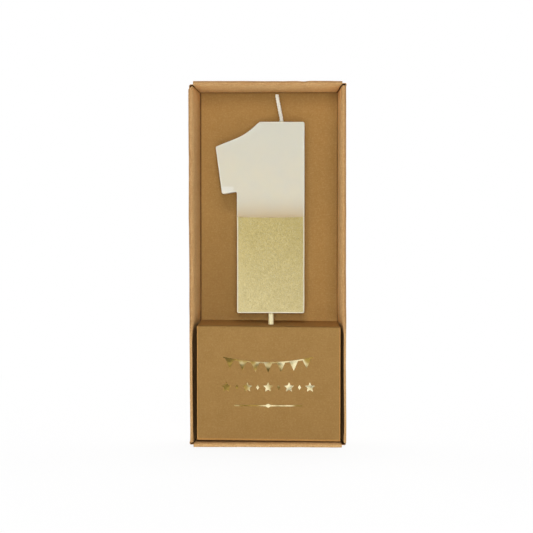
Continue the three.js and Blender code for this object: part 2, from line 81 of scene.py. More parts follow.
# The insert
CARD = 0.4
CARD_BEVEL = 0.07
INSERT_X = 0.2
INSERT_FRONT_Y = node_box("insert_front_panel")[0].y
PANEL_LOW, PANEL_HIGH = node_box("insert_back_panel")
CARD_BACK_Y = PANEL_HIGH.y
INSERT_TOP_Z = PANEL_HIGH.z
FOOT_BACK_Z = PANEL_LOW.z
FOOT_DROP = 1.0
SHELF_BACK_Z = node_box("insert_shelf_panel")[1].z
SHELF_DROP = 1.5
FLAP_FOOT_Z = node_box("insert_glue_flap")[0].z
FRONT_HALF_WIDTH = 29.55
BACK_HALF_WIDTH = 28.65
PLINTH_TILT = 0.0085
# Width of the painted highlight along the insert front's cut edges
EDGE_LINE = 0.4
CREASE_RADIUS = 0.8
BACK_CREASE_RADIUS = 0.6
GLUE_LINE = 0.05
HOLE_RADIUS = 1.7

# The candle, whose wax starts and whose lacquer ends DIP_RISE above the lacquer's solid
DIP_RISE = 0.05
DIP_LOW, DIP_HIGH = node_box("candle_metallic_dip")
STEM_LEFT, STEM_RIGHT = DIP_LOW.x, DIP_HIGH.x
STEM_WIDTH = STEM_RIGHT - STEM_LEFT
CANDLE_FOOT_Z = DIP_LOW.z + DIP_RISE
DIP_Z = DIP_HIGH.z + DIP_RISE
LACQUER = 0.06
CANDLE_HEIGHT = 78.8
CANDLE_TOP_Z = CANDLE_FOOT_Z + CANDLE_HEIGHT
WAX_LOW, WAX_HIGH = node_box("candle_wax_body")
CANDLE_MID_Y = (WAX_LOW.y + WAX_HIGH.y) / 2
CANDLE_HALF_DEPTH = (WAX_HIGH.y - WAX_LOW.y) / 2
CORNER_RADIUS = 0.8
OUTLINE_PITCH = 1.3
FILL_PITCH = 1.5
# The rounding between the candle's faces and its outline, and the band of painted highlight beside it
EDGE_INSET = 0.4
EDGE_DEPTH = 0.5
EDGE_STEPS = 9
RIM_BAND = 0.3
WICK_X = 5.5
WICK_TOP_X = 3.55
WICK_FOOT_Z, WICK_TOP_Z = [corner.z for corner in node_box("candle_wick")]
COLLAR_HEIGHT = 0.9
COLLAR_RADIUS = 1.65
COLLAR_SLOPE = 0.8
COLLAR_ROOT = 1.5

# The numeral's outline from the foot of its stem, each corner as (x, height, radius, steps)
NUMERAL = [
    (0, 0, CORNER_RADIUS, 6),
    (STEM_WIDTH, 0, CORNER_RADIUS, 6),
    (STEM_WIDTH, CANDLE_HEIGHT, CORNER_RADIUS, 6),
    (STEM_WIDTH - 18.6, CANDLE_HEIGHT, CORNER_RADIUS, 4),
    (3.2, CANDLE_HEIGHT - 5.4, 24, 20),
    (-8.75, CANDLE_HEIGHT - 10.2, CORNER_RADIUS, 6),
    (-6.15, CANDLE_HEIGHT - 29.9, 1.0, 6),
    (0, CANDLE_HEIGHT - 28.7, 0.7, 5),
]

# Materials

WHITE = (1, 1, 1, 1)


def colour(code):
    """Linear colour from a hex code."""
    parts = [int(code[i:i + 2], 16) / 255 for i in (1, 3, 5)]
    return [c / 12.92 if c <= 0.04045 else ((c + 0.055) / 1.055) ** 2.4 for c in parts] + [1.0]


class Graph:
    """The nodes of a new material or world, added by kind with their inputs."""

    def __init__(self, name, kind="materials"):
        self.owner = getattr(bpy.data, kind).new(name)
        self.owner.use_nodes = True
        self.tree = self.owner.node_tree
        self.tree.nodes.clear()

    def add(self, kind, inputs=None, **settings):
        made = self.tree.nodes.new("ShaderNode" + kind)
        for key, value in settings.items():
            setattr(made, key, value)
        for key, value in (inputs or {}).items():
            if isinstance(value, bpy.types.NodeSocket):
                self.tree.links.new(value, made.inputs[key])
            else:
                made.inputs[key].default_value = value
        return made

    def place(self, seed, turn=(0, 0, 0), stretch=(1, 1, 1)):
        """Object coordinates in millimetres, shifted by seed, turned and stretched."""
        return self.add("Mapping", {
            "Vector": self.add("TexCoord").outputs["Object"],
            "Location": (seed, seed * 0.7, seed * 0.4),
            "Rotation": turn,
            "Scale": [s / MM for s in stretch],
        }).outputs[0]

    def axis(self, number):
        """One of the object coordinates in millimetres."""
        where = self.add("TexCoord").outputs["Object"]
        return self.math("DIVIDE", self.add("SeparateXYZ", {0: where}).outputs[number], MM)

    def mark(self):
        """The mark that the mesh gives to each of its points, which paints light and shade."""
        return self.add("Attribute", attribute_name="mark").outputs["Fac"]

    def noise(self, where, scale, detail=2.0, rough=0.5, distortion=0.0):
        return self.add("TexNoise", {
            "Vector": where, "Scale": scale, "Detail": detail,
            "Roughness": rough, "Distortion": distortion,
        }).outputs["Fac"]

    def ramp(self, value, low, high, to_low=0.0, to_high=1.0, smooth=True):
        """value from low..high to to_low..to_high, clamped."""
        return self.add("MapRange", {
            0: value, 1: low, 2: high, 3: to_low, 4: to_high,
        }, interpolation_type="SMOOTHSTEP" if smooth else "LINEAR").outputs[0]

    def math(self, operation, a, b=0.0):
        return self.add("Math", {0: a, 1: b}, operation=operation).outputs[0]

    def vector(self, operation, inputs, output=0):
        return self.add("VectorMath", inputs, operation=operation).outputs[output]

    def mix(self, share, a, b, blend="MIX"):
        """a and b mixed, each of which is a socket, a colour or a hex code."""
        a, b = [colour(c) if isinstance(c, str) else c for c in (a, b)]
        return self.add("Mix", {0: share, 6: a, 7: b}, data_type="RGBA", blend_type=blend).outputs[2]

    def bump(self, height, distance, strength=1.0, under=None):
        inputs = {"Height": height, "Distance": distance * MM, "Strength": strength}
        if under:
            inputs["Normal"] = under
        return self.add("Bump", inputs).outputs[0]

    def finish(self, shader, output="OutputMaterial"):
        """Shows the shader, and gives back the material or world."""
        self.tree.links.new(shader.outputs[0], self.add(output).inputs[0])
        return self.owner

    def surface(self, **inputs):
        named = {key.replace("_", " "): value for key, value in inputs.items()}
        return self.finish(self.add("BsdfPrincipled", named))


def kraft(name, tones, fibre, sheen, gloss, seed, inner=WHITE):
    """Kraft board: clouded pulp with dark specks, pale and dark fibres, and a fine grain.

    tones are its base, dark and light colour, and fibre says how much its fibres and patches show.
    Where a point's mark is 1 the tone is multiplied by inner, a painted light, and where it is -1 it is
    darker, a painted shade.
    """
    base, dark, light = [colour(code) for code in tones]
    fine = min(fibre, 0.9)
    g = Graph(name)
    here = g.place(seed)
    cloud = g.noise(here, 0.16, 5, 0.62)
    tone = g.mix(g.ramp(cloud, 0.2, 0.8), base, dark)
    patch = g.noise(g.place(seed + 31), 0.7, 4, 0.6)
    tone = g.mix(g.ramp(patch, 0.42, 0.75, 0, 0.5 * fibre), tone, light)
    grain = g.noise(here, 2.4, 3, 0.6)
    tone = g.mix(g.ramp(grain, 0.3, 0.7, 0, 0.75 * fine), tone, dark)
    pulp = g.noise(g.place(seed + 13), 1.5, 2, 0.6)
    tone = g.mix(g.ramp(pulp, 0.48, 0.72, 0, 0.6 * fine), tone, light)

    # Fibres are stretched noise, and the pale ones stand up: (turn, tint, share)
    raised = grain
    for k, (turn, tint, share) in enumerate([
        ((0.4, 0.5, 0.2), light, 0.55),
        ((-0.5, 0.9, 1.1), dark, 0.6),
        ((1.2, -0.4, 0.6), light, 0.45),
        ((0.1, -0.8, 1.8), dark, 0.5),
    ]):
        thread = g.noise(g.place(seed + 7 * k, turn, (0.35, 3.2, 3.2)), 1.0, 1, 0.4, 0.6)
        mask = g.ramp(thread, 0.66, 0.76)
        tone = g.mix(g.math("MULTIPLY", mask, share * fine), tone, tint)
        if tint is light:
            raised = g.math("ADD", raised, g.math("MULTIPLY", mask, 0.5))

    # Specks have a size of their own and a ragged outline: (turn, scale, tint, share)
    ragged = g.math("MULTIPLY", g.noise(here, 9.0, 2), 0.14)
    for k, (turn, scale, tint, share) in enumerate([
        ((0.3, 0.8, 0.4), 0.75, [c * 0.45 for c in dark[:3]] + [1.0], 0.42),
        ((-0.6, 0.3, 1.3), 0.6, light, 0.6),
    ]):
        cells = g.add("TexVoronoi", {
            "Vector": g.place(seed + 3 + k, turn, (0.7, 1.5, 1.1)), "Scale": scale, "Randomness": 1.0})
        size = g.math("MULTIPLY", g.add("SeparateColor", {0: cells.outputs["Color"]}).outputs[0], 0.19)
        speck = g.math("SUBTRACT", g.math("SUBTRACT", size, ragged), cells.outputs["Distance"])
        tone = g.mix(g.ramp(speck, -0.04, 0.05, 0, share), tone, tint)

    # The mark paints light tinted by inner, and paints shade where it is negative
    mark = g.mark()
    tone = g.mix(mark, tone, inner, "MULTIPLY")
    tone = g.mix(g.math("MULTIPLY", mark, -1.0), tone, (0.5, 0.46, 0.42, 1), "MULTIPLY")
    normal = g.bump(raised, 0.02, 0.6, g.bump(cloud, 0.25, 0.35))
    return g.surface(
        Base_Color=tone, Roughness=0.7, Specular_IOR_Level=gloss, Sheen_Weight=sheen, Sheen_Roughness=0.5,
        Sheen_Tint=light, Normal=normal)


def cut_edge(name, base, dark, seed):
    """The cut edge of kraft board: plies of pulp, a little fuzzy."""
    g = Graph(name)
    plies = g.noise(g.place(seed), 6.0, 4, 0.7)
    tone = g.mix(g.ramp(plies, 0.3, 0.7), base, dark)
    return g.surface(Base_Color=tone, Roughness=0.9, Specular_IOR_Level=0.15, Normal=g.bump(plies, 0.06, 0.8))


def wax_material():
    """Hazy wax, with painted shade that makes its top paler, a painted highlight on its edges, and a painted
    warm reflection where it nears the lacquer.
    """
    g = Graph("wax")
    here = g.place(11)
    across, height = g.axis(0), g.axis(2)
    haze = g.noise(here, 0.1, 4, 0.55)
    tone = g.mix(g.ramp(haze, 0.3, 0.7), "#D2CBB6", "#CEC9B8")
    # Painted shade, greyer towards the top
    tone = g.mix(g.ramp(height, DIP_Z + 16, CANDLE_TOP_Z), tone, "#CCC9BA")
    # Painted shade and a warm painted reflection of the lacquer, where the wax nears it
    warm = g.math("POWER", g.ramp(height, DIP_Z + 11, DIP_Z, smooth=False), 2.2)
    tone = g.mix(g.math("MULTIPLY", warm, 0.9), tone, "#B9A37D")

    # A painted highlight along the foot of the numeral's flag
    foot = CANDLE_TOP_Z - 29.4
    flag_highlight = g.math("MULTIPLY", g.ramp(height, foot, foot + 0.6), g.ramp(height, foot + 3.1, foot + 2.4))
    flag_highlight = g.math("MULTIPLY", flag_highlight, g.ramp(across, STEM_LEFT - 0.8, STEM_LEFT - 1.8))
    tone = g.mix(g.math("MULTIPLY", flag_highlight, 0.5), tone, "#E2E0D8")

    # A painted highlight on the rounded edges and the band beside them
    tone = g.mix(g.math("MULTIPLY", g.mark(), 0.5), tone, "#E6E5D8")
    normal = g.bump(g.noise(here, 1.4, 3, 0.5), 0.012, 0.5, g.bump(haze, 0.2, 0.3))
    return g.surface(
        Base_Color=tone, Roughness=0.48, Specular_IOR_Level=0.4, Subsurface_Weight=0.35,
        Subsurface_Radius=(1.0, 0.82, 0.55), Subsurface_Scale=0.0022, Normal=normal)


def glitter_material():
    """Metallic lacquer with fine flakes, each tilted its own way, with painted light at its foot, a painted
    highlight on its edges and painted shade towards its right.
    """
    g = Graph("metallic_lacquer")
    here = g.place(5)
    flakes = g.add("TexVoronoi", {"Vector": here, "Scale": 5.6, "Randomness": 1.0}).outputs["Color"]
    tilt = g.vector("SUBTRACT", {0: flakes, 1: (0.5, 0.5, 0.5)})
    tilt = g.vector("SCALE", {0: tilt, "Scale": 0.22})
    leaned = g.vector("ADD", {0: g.add("NewGeometry").outputs["Normal"], 1: tilt})
    normal = g.vector("NORMALIZE", {0: leaned})

    # Painted light makes it paler towards the foot, and painted shade darker towards the right
    tone = g.mix(g.ramp(g.axis(2), CANDLE_FOOT_Z, DIP_Z), "#F9E7A9", "#F2DD94")
    tone = g.mix(g.ramp(g.axis(0), STEM_LEFT, STEM_RIGHT, 0.0, 0.3, False), tone, "#CDB978")
    each = g.add("SeparateColor", {0: flakes}).outputs[1]
    tone = g.mix(g.ramp(each, 0.0, 0.4, 0.38, 0.0), tone, "#BBA562")
    tone = g.mix(g.ramp(each, 0.75, 1.0, 0.0, 0.5), tone, "#FBF5D6")
    # A painted highlight on the rounded edges
    tone = g.mix(g.math("MULTIPLY", g.mark(), 0.9), tone, "#FFFAE4")
    normal = g.bump(g.noise(here, 0.5, 3, 0.6), 0.05, 0.15, normal)
    return g.surface(Base_Color=tone, Metallic=1.0, Roughness=0.36, Normal=normal)


def foil_material():
    """Stamped foil, slightly wavy, with a painted reflection that darkens and brightens it across the front.
    """
    g = Graph("stamped_foil")
    here = g.place(2)
    wave_and_painted_reflection = g.noise(here, 0.11, 2, 0.5)
    # Painted reflection: the foil darkens and brightens with the wave
    tone = g.mix(g.ramp(wave_and_painted_reflection, 0.38, 0.56), "#FFF3C4", "#AD9048")
    normal = g.bump(g.noise(here, 4.0, 3, 0.6), 0.012, 0.5, g.bump(wave_and_painted_reflection, 1.6, 0.8))
    return g.surface(Base_Color=tone, Metallic=1.0, Roughness=0.2, Normal=normal)


def pick_material():
    """Gilt plastic with faint streaks along it."""
    g = Graph("gilt_pick")
    streak = g.noise(g.place(9, stretch=(3, 3, 0.3)), 1.2, 3, 0.6)
    tone = g.mix(g.ramp(streak, 0.3, 0.7), "#FAF2CC", "#E6DAA2")
    return g.surface(Base_Color=tone, Metallic=0.2, Roughness=0.3, Normal=g.bump(streak, 0.02, 0.5))


def wick_material():
    """Cotton stiff with wax."""
    g = Graph("waxed_cotton")
    hair = g.noise(g.place(4, (0, 0.2, 0), (5, 5, 1.2)), 1.6, 4, 0.7)
    tone = g.mix(g.ramp(hair, 0.3, 0.7), "#EAE7DC", "#D6D1C2")
    return g.surface(
        Base_Color=tone, Roughness=0.7, Specular_IOR_Level=0.3, Subsurface_Weight=0.2,
        Subsurface_Radius=(1.0, 0.85, 0.6), Subsurface_Scale=0.0006, Normal=g.bump(hair, 0.05, 0.7))


# inner tints the painted light on the walls, and where their mark is negative it paints shade
TRAY_FACE = kraft(
    "tray_board", ("#BD9463", "#B18655", "#CCA775"), fibre=1.2, sheen=0.05, gloss=0.2, seed=1.0,
    inner=(1.75, 1.95, 2.1, 1))
# Painted shade: a dark tone on the board's second face, seen only in the walls' hollows, their slits and
# behind the insert
TRAY_PAINTED_SHADE = kraft(
    "tray_board_painted_shade", ("#6E4E2D", "#5F4124", "#7E5C38"), fibre=0.7, sheen=0.0, gloss=0.2, seed=22.0)
TRAY_EDGE = cut_edge("tray_board_edge", "#B98F5F", "#93693C", seed=1.0)
# In the order of folded_sheet's material numbers, so that the second face gets the painted shade
TRAY_BOARD = [TRAY_FACE, TRAY_EDGE, TRAY_PAINTED_SHADE]
# inner tints the painted light on the front's edges, the back panel and the shelf
CARD_FACE = kraft(
    "insert_card", ("#A17D49", "#977442", "#AC8954"), fibre=0.8, sheen=0.0, gloss=0.12, seed=60.0,
    inner=(1.4, 1.25, 1.15, 1))
CARD_EDGE = cut_edge("insert_card_edge", "#B18A57", "#8C683A", seed=60.0)
WAX = wax_material()
GLITTER = glitter_material()
FOIL = foil_material()
GILT = pick_material()
COTTON = wick_material()

# Meshes


def new_object(name, data):
    """An object with this data, in the scene."""
    made = bpy.data.objects.new(name, data)
    bpy.context.scene.collection.objects.link(made)
    return made


def new_mesh(name, points, faces, materials):
    """A mesh shaded smooth, from points in millimetres."""
    mesh = bpy.data.meshes.new(name)
    mesh.from_pydata([tuple(c * MM for c in p) for p in points], [], faces)
    for m in materials:
        mesh.materials.append(m)
    mesh.shade_smooth()
    return mesh


def add_piece(
        name, points, faces, materials, body, replaced, face_materials=None, sharp=None, marks=None):
    """A closed mesh that rides on a body and stands for CAD nodes.

    sharp is the angle in degrees from which an edge isn't smoothed. marks has a number for each point, which
    paints light and shade, and the last points have 0 where it is shorter.
    """
    mesh = new_mesh(name, points, faces, materials)
    if marks:
        marks = marks + [0.0] * (len(points) - len(marks))
        mesh.attributes.new("mark", "FLOAT", "POINT").data.foreach_set("value", marks)
    if face_materials:
        mesh.polygons.foreach_set("material_index", face_materials)
    outward = bmesh.new()
    outward.from_mesh(mesh)
    bmesh.ops.recalc_face_normals(outward, faces=outward.faces)
    outward.to_mesh(mesh)
    outward.free()
    if sharp is not None:
        mesh.set_sharp_from_angle(angle=math.radians(sharp))
    piece = new_object(name, mesh)
    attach(piece, body)
    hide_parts(*replaced)
    return piece


def apply_modifiers(piece):
    """Gives the piece the mesh that its modifiers make."""
    bpy.context.view_layer.update()
    seen = piece.evaluated_get(bpy.context.evaluated_depsgraph_get())
    mesh = bpy.data.meshes.new_from_object(seen)
    piece.modifiers.clear()
    old = piece.data
    piece.data = mesh
    bpy.data.meshes.remove(old)


def apply_boolean(piece, tool, operation):
    """Cuts the tool from the piece or joins the two, and removes the tool."""
    modifier = piece.modifiers.new("boolean", "BOOLEAN")
    modifier.object = tool
    modifier.operation = operation
    modifier.solver = "EXACT"
    apply_modifiers(piece)
    bpy.data.objects.remove(tool)


def fillet(before, corner, after, radius, steps):
    """Points on a fillet at corner, between the edges to before and after."""
    into, out = corner - before, after - corner
    reach = 0.48 * min(into.length, out.length)
    into.normalize()
    out.normalize()
    half_turn = math.acos(max(-1, min(1, into.dot(out)))) / 2
    if half_turn < 1e-6 or radius <= 0:
        return [corner.copy()]
    radius = min(radius, reach / math.tan(half_turn))
    side = math.copysign(1, into.x * out.y - into.y * out.x)
    start = corner - into * (radius * math.tan(half_turn))
    centre = start + Vector((-into.y, into.x)) * (side * radius)
    points = []
    for i in range(steps + 1):
        turn = Matrix.Rotation(side * 2 * half_turn * i / steps, 2)
        points.append(centre + turn @ (start - centre))
    return points


def rounded_path(corners):
    """Points of an open path through corners, each as (x, y, radius, steps)."""
    spots = [Vector(corner[:2]) for corner in corners]
    points = [spots[0]]
    for i in range(1, len(corners) - 1):
        points += fillet(spots[i - 1], spots[i], spots[i + 1], *corners[i][2:])
    return points + [spots[-1]]


def divided(points, pitch):
    """The path with points added so that none of its segments is longer than pitch."""
    found = [points[0]]
    for a, b in zip(points, points[1:]):
        parts = max(1, math.ceil((b - a).length / pitch))
        found += [a.lerp(b, k / parts) for k in range(1, parts + 1)]
    return found


def thickened(path, thickness, bevel):
    """Pairs of points on the two faces of a sheet whose first face follows the path.

    The sheet lies on the path's left, and its two ends are drawn in by bevel.
    """
    path = [path[0], path[0].lerp(path[1], bevel / (path[1] - path[0]).length)] + path[1:]
    path = path[:-1] + [path[-1].lerp(path[-2], bevel / (path[-1] - path[-2]).length), path[-1]]
    pairs = []
    for i, p in enumerate(path):
        ahead = path[min(i + 1, len(path) - 1)] - p
        behind = p - path[max(i - 1, 0)]
        normals = [Vector((-d.y, d.x)).normalized() for d in (behind, ahead) if d.length > 1e-9]
        normal = sum(normals, Vector((0, 0))).normalized()
        normal *= 1 / max(normal.dot(normals[0]), 0.3)
        far = p + normal * thickness
        if i in (0, len(path) - 1):
            middle = (p + far) / 2
            share = 2 * bevel / thickness
            p, far = p.lerp(middle, share), far.lerp(middle, share)
        pairs.append((p, far))
    return pairs


def folded_sheet(pairs, ends, place, pitch, bevel, ripple=None, reverse=0, margins=()):
    """Points, faces and material numbers of a folded sheet.

    ends(p) gives where the sheet starts and stops across at the section point p, ripple(p, along) moves
    a point in the section's plane, and place(p, along) puts it in space. The cut edges have material 1,
    the second face has the material numbered reverse, and margins are extra lines beside the two ends.
    """
    length = max(ends(p)[1] - ends(p)[0] for pair in pairs for p in pair)
    steps = max(2, math.ceil(length / pitch))
    edges = [0.0, bevel / length] + [m / length for m in margins]
    shares = edges + [k / steps for k in range(1, steps)] + [1 - e for e in reversed(edges)]
    rows, columns = len(shares), len(pairs)
    points = []
    for side in (0, 1):
        for row, share in enumerate(shares):
            for pair in pairs:
                p = pair[side]
                start, stop = ends(p)
                along = start + (stop - start) * share
                if row in (0, rows - 1):
                    p = p.lerp((pair[0] + pair[1]) / 2, 0.4)
                points.append(place(p + ripple(p, along) if ripple else p, along))

    faces, materials = [], []

    def add_quad(corners, material):
        faces.append([(side * rows + row) * columns + column for side, row, column in corners])
        materials.append(material)

    for row in range(rows - 1):
        for column in range(columns - 1):
            quad = [(row, column), (row, column + 1), (row + 1, column + 1), (row + 1, column)]
            add_quad([(0, *spot) for spot in quad], 0)
            add_quad([(1, *spot) for spot in quad[::-1]], reverse)
    for column in range(columns - 1):
        for row, step in ((0, 1), (rows - 1, -1)):
            quad = [(0, row, column), (1, row, column), (1, row, column + 1), (0, row, column + 1)]
            add_quad(quad[::step], 1)
    for row in range(rows - 1):
        for column, step in ((0, 1), (columns - 1, -1)):
            quad = [(0, row, column), (0, row + 1, column), (1, row + 1, column), (1, row, column)]
            add_quad(quad[::step], 1)
    return points, faces, materials


def turned(profile, segments, x, y, z):
    """Points and faces of a turned solid whose profile starts and ends on its axis."""
    points = [Vector((x, y, z + profile[0][1]))]
    for radius, height in profile[1:-1]:
        for k in range(segments):
            angle = 2 * math.pi * k / segments
            points.append(Vector((x + radius * math.cos(angle), y + radius * math.sin(angle), z + height)))
    points.append(Vector((x, y, z + profile[-1][1])))
    faces = []
    last = len(points) - 1
    rings = len(profile) - 2
    for k in range(segments):
        j = (k + 1) % segments
        faces.append([0, 1 + j, 1 + k])
        for r in range(rings - 1):
            a = 1 + r * segments
            faces.append([a + k, a + j, a + segments + j, a + segments + k])
        top = 1 + (rings - 1) * segments
        faces.append([top + k, top + j, last])
    return points, faces


def smooth_noise(a, b, seed):
    return noise.noise(Vector((a, b, seed)))


def smooth_step(low, high, value):
    """0 at low and 1 at high, which may be the lesser of the two, with a smooth rise between them."""
    share = min(1, max(0, (value - low) / (high - low)))
    return share * share * (3 - 2 * share)


# The tray's walls, each drawn as (inwards from its outer face, y) along its own side

# How a wall ends: how far from the corner at its rim, its slant outwards, and the gap of its mitre
PLAIN = (RIM_WIDTH, 0, MITRE_GAP)
CLOSE = (RIM_WIDTH, 0, 0.4 * MITRE_GAP)
PARTED = (RIM_WIDTH, 0, 2.4 * MITRE_GAP)
SQUARE = (RIM_WIDTH + 0.15, 0, MITRE_GAP)
SLANTED = (RIM_WIDTH + 0.22, 0.8, 0.4 * MITRE_GAP)


class Wall(NamedTuple):
    """A wall of the tray. place(p, along) puts the section point p in space.

    bows are how far its inner panel bows in beside the plinth and above it, pinch is how far its rim is
    drawn out beside the plinth, and lit is its share of the light painted on its inner panel.
    """
    side: str
    length: float
    place: Callable
    seed: float
    rim: float = 1.8
    rounding: float = RIM_ROUNDING
    low: tuple = SQUARE
    high: tuple = SQUARE
    lean: float = 0.0
    bows: tuple = (0.0, 0.0)
    pinch: float = 0.0
    dents: tuple = ()
    lit: float = 1.0


WALLS = [
    Wall("left", TRAY_HEIGHT, lambda p, along: (-HALF_WIDTH + p.x, p.y, along), 3.1,
         high=SLANTED, lean=0.6, bows=(-1.0, 0.6), pinch=0.45, lit=0.8),
    Wall("right", TRAY_HEIGHT, lambda p, along: (HALF_WIDTH - p.x, p.y, along), 8.6,
         lean=-0.2, bows=(-1.0, 0.45), pinch=0.75),
    Wall("bottom", 2 * HALF_WIDTH, lambda p, along: (along - HALF_WIDTH, p.y, max(p.x, 0)), 14.2,
         rim=1.9, rounding=1.4 * RIM_ROUNDING, low=PLAIN, high=PLAIN),
    Wall("top", 2 * HALF_WIDTH, lambda p, along: (along - HALF_WIDTH, p.y, TRAY_HEIGHT - p.x), 21.7,
         low=CLOSE, high=PARTED, bows=(0.5, 0.5), dents=(47.0,)),
]


def wall_section(wall):
    """The board's section: up the outer face, over the rim and down to the foot inside."""
    path = rounded_path([
        (0, BOARD_Y, 0, 0),
        (0, RIM_Y, FOLD_RADIUS, 7),
        (wall.rim, RIM_Y, wall.rounding, 10),
        (WALL_FOOT, BOARD_Y - FOOT_GAP, 0, 0),
    ])
    return thickened(divided(path, WALL_PITCH), BOARD, BOARD_BEVEL)


def wall_ends(wall):
    """Where the wall starts and stops at each point of its section."""
    def drawn_in(p, end, slant, gap):
        return max(end + slant * max(0, RIM_WIDTH - p.x), p.x + gap / 2)

    return lambda p: (drawn_in(p, *wall.low), wall.length - drawn_in(p, *wall.high))


def wall_ripple(wall):
    """Unevenness of a wall: how its inner panel leans and bows, its dents, and small waves along its rim."""
    seed = wall.seed
    is_side = wall.side in ("left", "right")
    hollow = 0.5 if is_side else 0.0

    def ripple(p, along):
        rim = max(0.0, 1 - (p.y - RIM_Y) / 14)
        depth = min(1.0, (p.y - RIM_Y) / (BOARD_Y - RIM_Y))
        tilt = wall.lean * (0.5 - along / wall.length) * (1 - depth)
        above = smooth_step(*PLINTH_END, along) if is_side else 0.0
        clear = smooth_step(1, 9, min(along, wall.length - along))
        bow = (wall.bows[0] + (wall.bows[1] - wall.bows[0]) * above) * clear
        turned_in = smooth_step(RIM_WIDTH * 0.5, RIM_WIDTH * 0.95, p.x)
        drawn_out = wall.pinch * (1 - above) * (1 - depth) ** 2
        bulge = turned_in * (bow * math.sin(math.pi * depth ** 0.8) - drawn_out)
        bulge -= turned_in * hollow * (1 - above) * depth * clear
        bulge += 0.22 * sum(math.exp(-((along - dent) / 1.5) ** 2) for dent in wall.dents) * rim * rim
        sway = 0.16 * smooth_noise(along / 21, 0.0, seed) + 0.07 * smooth_noise(along / 5.5, 0.3, seed + 9)
        lift = 0.07 * smooth_noise(along / 17, 2.0, seed + 4) + 0.04 * smooth_noise(along / 4.3, 5.0, seed)
        belly = 0.0
        if p.x > RIM_WIDTH * 0.75:
            belly = 0.2 * smooth_noise(along / 30, 0.0, seed + 2) * math.sin(math.pi * min(1, rim))
        return Vector((sway * rim * rim + belly + tilt + bulge, max(0.0, lift) * rim * rim))
    return ripple


def wall_marks(wall, pairs, points):
    """Marks that paint light on the inner panels above the plinth and on the bottom rim, paint shade on the
    folds and on what lies beside the plinth, and make the rim beside the plinth paler.
    """
    if wall.side == "bottom":
        # The bottom wall: painted light on its outer rim, and painted shade on its inner edge and deeper in
        return [0.55 - 0.8 * smooth_step(0.5, 1.9, z) - smooth_step(1.2, 4.5, y - RIM_Y) for _, y, z in points]
    inner, fold = [], []
    for p, _ in pairs:
        # inner picks out the inner panel, and fold is painted shade on the outer fold
        inner.append(smooth_step(wall.rim - 0.5, wall.rim + 0.1, p.x) * smooth_step(0.0, 1.2, p.y - RIM_Y))
        fold.append(0.45 * smooth_step(1.0, 0.4, p.x) * smooth_step(1.0, 0.4, p.y - RIM_Y))
    marks = []
    for i, (_, y, z) in enumerate(points):
        column = i % len(pairs)
        above = 1.0 if wall.side == "top" else smooth_step(SHELF_BACK_Z - 6, SHELF_BACK_Z + 1, z)
        # lit is painted light on the inner panel above the plinth
        lit = inner[column] * wall.lit - fold[column]
        # The rim beside the plinth is paler
        paler_rim = 0.2 * smooth_step(1.0, 0.2, y - RIM_Y)
        # hidden is painted shade on the inner panel beside the plinth, deep in its slot
        hidden = inner[column] * smooth_step(0.8, 3.0, y - RIM_Y)
        marks.append(lit * above + (paler_rim - hidden) * (1 - above))
    return marks


def add_walls():
    for wall in WALLS:
        pairs = wall_section(wall)
        points, faces, materials = folded_sheet(
            pairs, wall_ends(wall), wall.place, WALL_PITCH, BOARD_BEVEL, wall_ripple(wall), reverse=2)
        add_piece(
            f"rolled_wall_{wall.side}", points, faces, TRAY_BOARD, "tray",
            [f"tray_wall_{wall.side}"], materials, 50, wall_marks(wall, pairs, points))


def add_corner_flaps():
    """Glue flaps of the side walls, bent round the corners and seen in their notches."""
    # Its corner, its sides as signs, where the side wall ends, the level of its strip, and its bend's radius
    corners = [
        ("top_left", -1, 1, 3.3, 1.25, 1.6),
        ("top_right", 1, 1, 1.9, 0.85, 0.35),
        ("bottom_left", -1, -1, 2.0, 0.95, 0.7),
        ("bottom_right", 1, -1, 2.0, 0.95, 0.9),
    ]
    for corner, right, up, wall_end, level, radius in corners:
        path = rounded_path([
            (0.5, FLAP_LENGTH, 0, 0),
            (0.5, wall_end + 1.0, 0.5, 3),
            (0.06, wall_end + 0.1, 0.5, 3),
            (0.06, level, radius, 8),
            (RIM_WIDTH, level, 0.5, 3),
            (RIM_WIDTH + 1.4, 0.55, 0.5, 3),
            (FLAP_LENGTH, 0.55, 0, 0),
        ])

        def place(p, along):
            return right * (HALF_WIDTH - p.x), along, TRAY_HEIGHT - p.y if up > 0 else p.y

        points, faces, materials = folded_sheet(
            thickened(divided(path, 1.5), BOARD * 0.75, FLAP_BEVEL),
            lambda p: (RIM_Y + 0.62, BOARD_Y - FOOT_GAP), place, 2.5, FLAP_BEVEL, reverse=2)
        add_piece(
            f"bent_flap_{corner}", points, faces, TRAY_BOARD, "tray",
            [f"tray_corner_flap_{corner}"], materials, 50)


